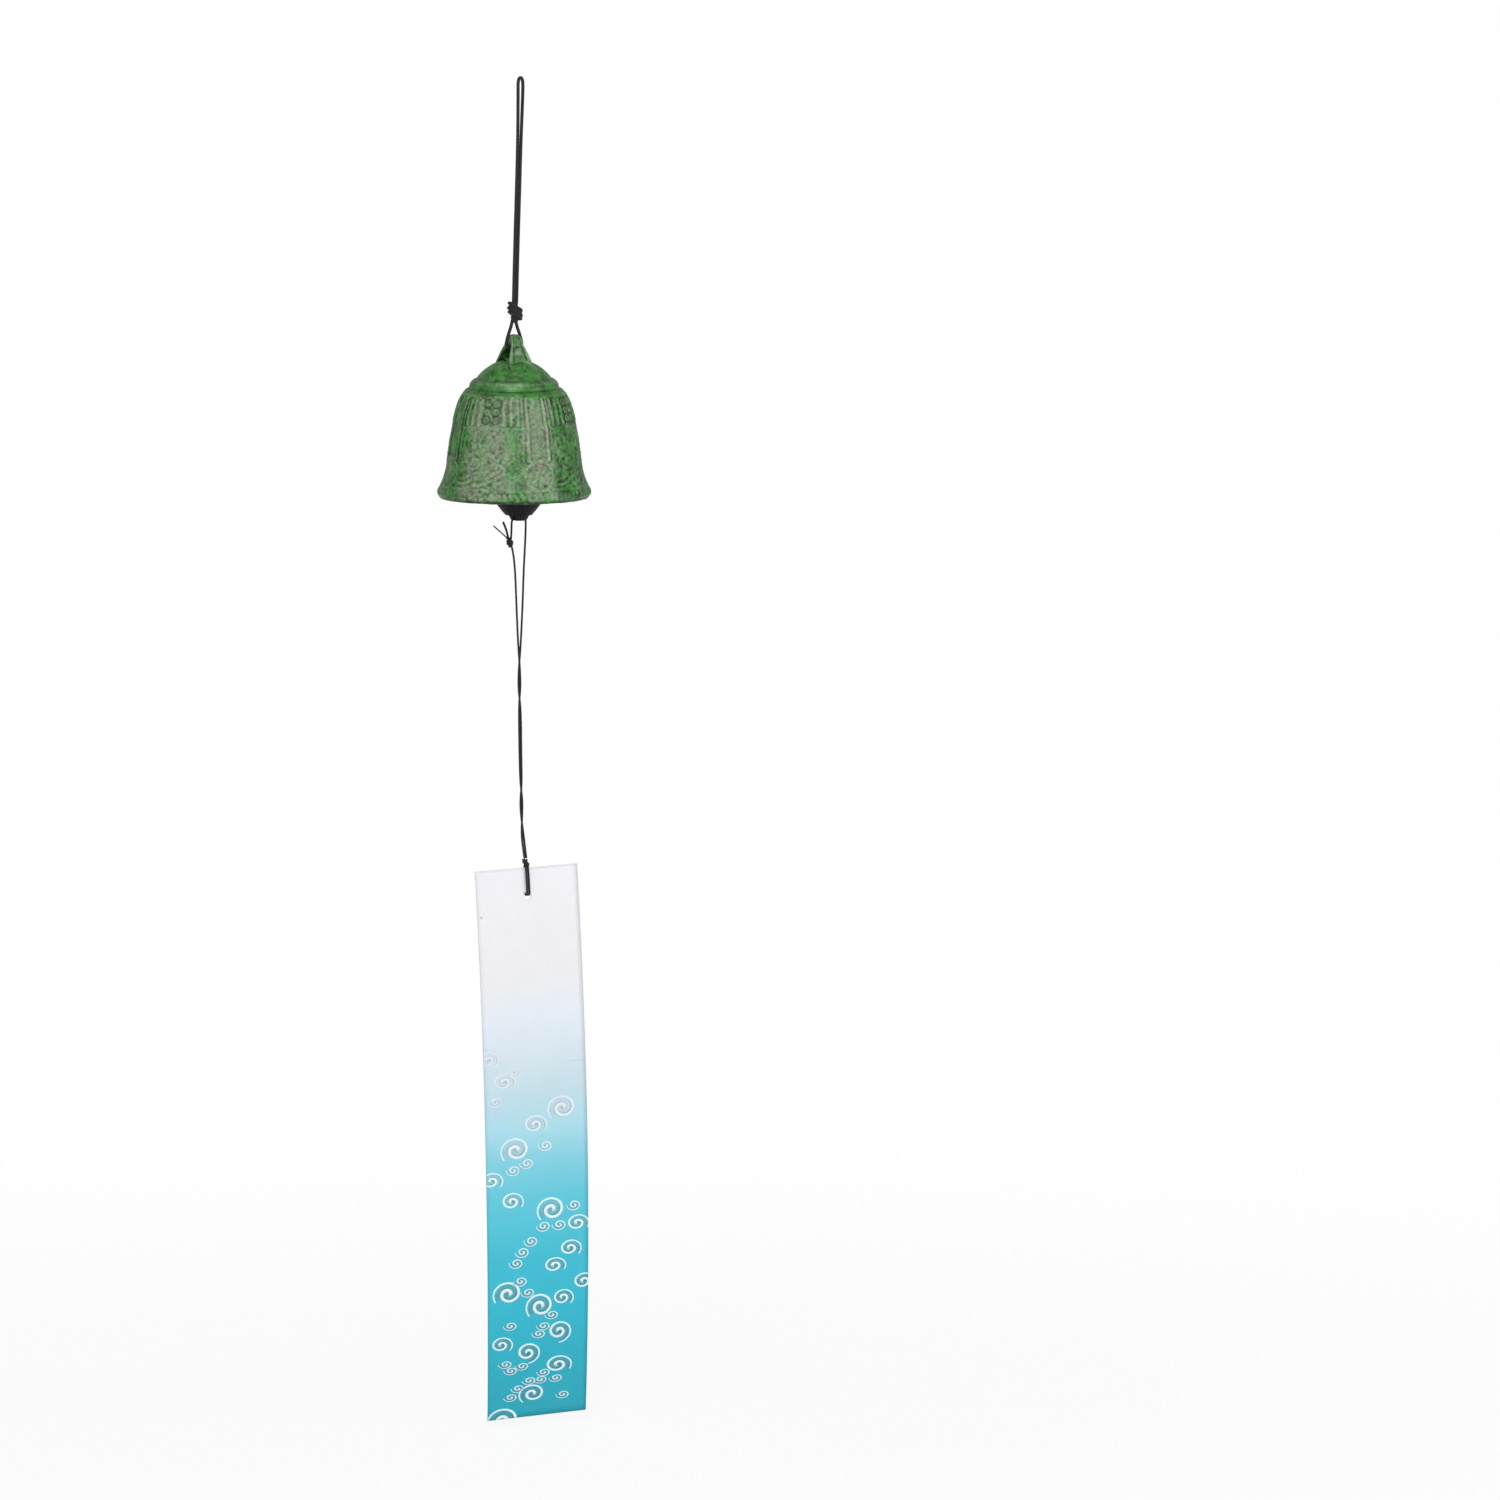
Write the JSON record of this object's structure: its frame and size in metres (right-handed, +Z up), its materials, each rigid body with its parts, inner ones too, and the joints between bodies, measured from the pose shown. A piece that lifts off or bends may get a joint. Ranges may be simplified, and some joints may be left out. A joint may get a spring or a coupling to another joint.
{
  "type": "wind bell",
  "caption": "Cast-iron wind bell on a knotted cord, with a clapper inside and a long paper strip that catches the wind and moves the clapper.",
  "frame": {"origin": "the inner top of the hanging loop, where it sits on its hook", "axes": "+Z up along the hanging line, -Y out of the strip's front face, +X to the right seen from the front"},
  "size_m": [0.0663, 0.0646, 0.5691],
  "materials": {
    "black_cord": "matt braided cord",
    "black_string": "matt twisted string",
    "green_iron": "green baked lacquer over a rough casting",
    "iron_wire": "dull drawn wire",
    "black_iron": "black baked lacquer over a rough casting",
    "printed_card": "smooth card printed from white to light blue"
  },
  "bodies": {
    "hook_cord": {"hanging_cord": "black_cord", "hanging_knot": "black_cord"},
    "fork": {"fork_loop": "black_cord"},
    "casting": {"bell": "green_iron", "inner_eye": "iron_wire"},
    "clapper_string": {"clapper_cord": "black_string", "clapper_knot": "black_string"},
    "weight": {"clapper": "black_iron"},
    "strip_string": {"strip_cord": "black_string", "strip_cord_left": "black_string", "joining_knot": "black_string", "knot_tails": "black_string"},
    "string_end": {"strip_knot": "black_string"},
    "card": {"strip_loop": "black_string", "paper_strip": "printed_card"}
  },
  "joints": [
    {"name": "fork_swing", "type": "hinge", "parent": "hook_cord", "child": "fork", "pos_m": [-0.0032, 0, -0.10315], "axis": [0, 1, 0], "range_deg": [-15, 15]},
    {"name": "bell_swing", "type": "hinge", "parent": "fork", "child": "casting", "pos_m": [-0.0032, 0, -0.1132], "axis": [1, 0, 0], "range_deg": [-25, 25]},
    {"name": "clapper_cord_swing", "type": "hinge", "parent": "casting", "child": "clapper_string", "pos_m": [-0.0032, 0, -0.1287], "axis": [1, 0, 0], "range_deg": [-17.5, 17.5]},
    {"name": "clapper_rock", "type": "hinge", "parent": "clapper_string", "child": "weight", "pos_m": [-0.0011, 0, -0.16415], "axis": [0, 1, 0], "range_deg": [-12, 12]},
    {"name": "strip_cord_swing", "type": "hinge", "parent": "weight", "child": "strip_string", "pos_m": [-0.0011, 0, -0.1845], "axis": [1, 0, 0], "range_deg": [-45, 45]},
    {"name": "strip_turn", "type": "hinge", "parent": "strip_string", "child": "string_end", "pos_m": [0.002, 0, -0.3316], "axis": [0, 0, 1], "range_deg": [-180, 180]},
    {"name": "strip_swing", "type": "hinge", "parent": "string_end", "child": "card", "pos_m": [0.002, 0, -0.3316], "axis": [1, 0, 0], "range_deg": [-40, 40]}
  ]
}
